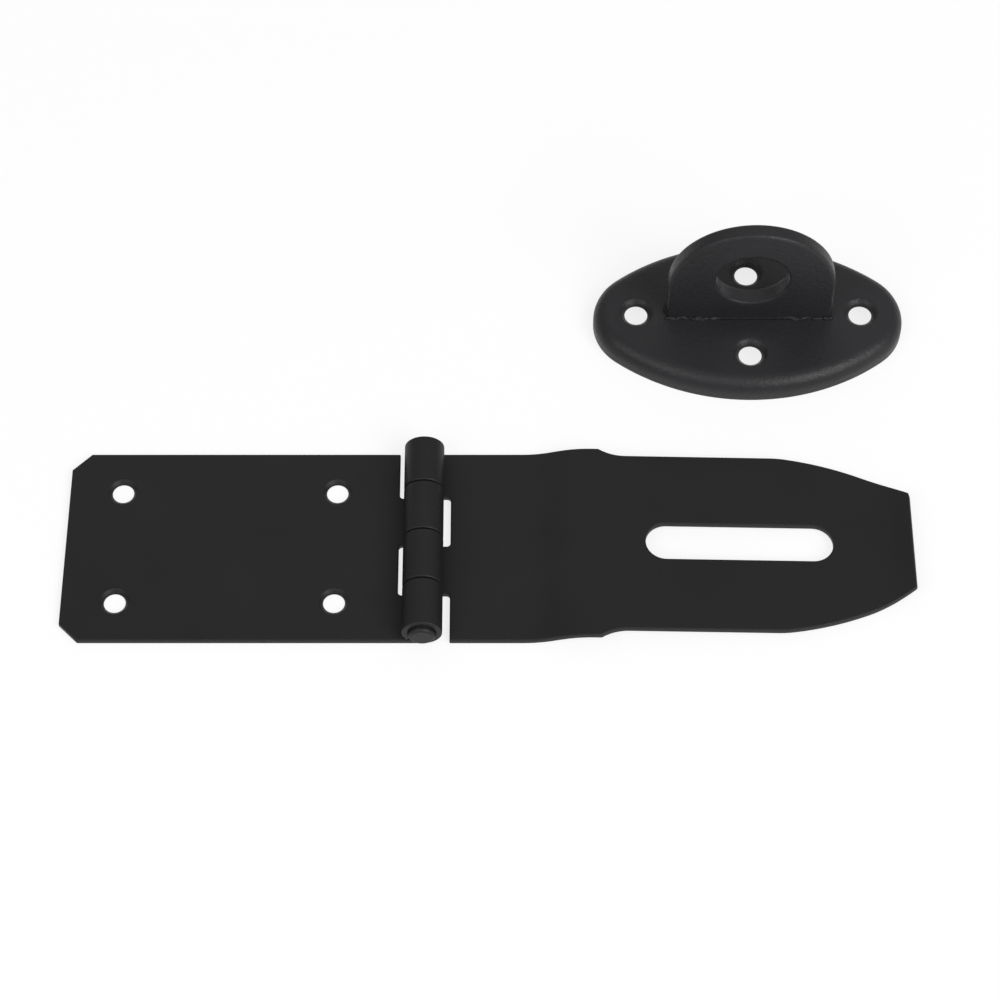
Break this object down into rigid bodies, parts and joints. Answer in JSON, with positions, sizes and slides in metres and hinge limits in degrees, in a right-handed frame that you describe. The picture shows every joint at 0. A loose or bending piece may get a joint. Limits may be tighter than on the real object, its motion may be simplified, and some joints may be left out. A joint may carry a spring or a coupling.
{
  "type": "padlock hasp",
  "caption": "Black hinged hasp with a countersunk fixed leaf, rolled knuckle hinge and slotted stepped leaf, and an oval staple with a round-topped padlock eye that the slot passes over.",
  "frame": {"origin": "centre of the fixed leaf's four screw holes, on the mounting face", "axes": "+X along the hasp from the fixed leaf towards the tip, +Y across it towards the staple, +Z out of the mounting face"},
  "size_m": [0.1577, 0.0895, 0.0301],
  "materials": {
    "black_leaf": "even satin black coat on rolled sheet steel",
    "black_pin": "satin black steel, thinner coat on the cut ends",
    "black_staple": "satin black coat with a soft sheen and fine speckle along the rim"
  },
  "bodies": {
    "fixed_side": {"fixed_leaf": "black_leaf", "hinge_pin": "black_pin", "staple_plate": "black_staple", "staple_eye": "black_staple"},
    "swinging_leaf": {"hasp_leaf": "black_leaf"}
  },
  "joints": [
    {"name": "hasp_hinge", "type": "hinge", "parent": "fixed_side", "child": "swinging_leaf", "pos_m": [0.0362, 0, 0.0037], "axis": [0, -1, 0], "range_deg": [-90, 180]}
  ]
}
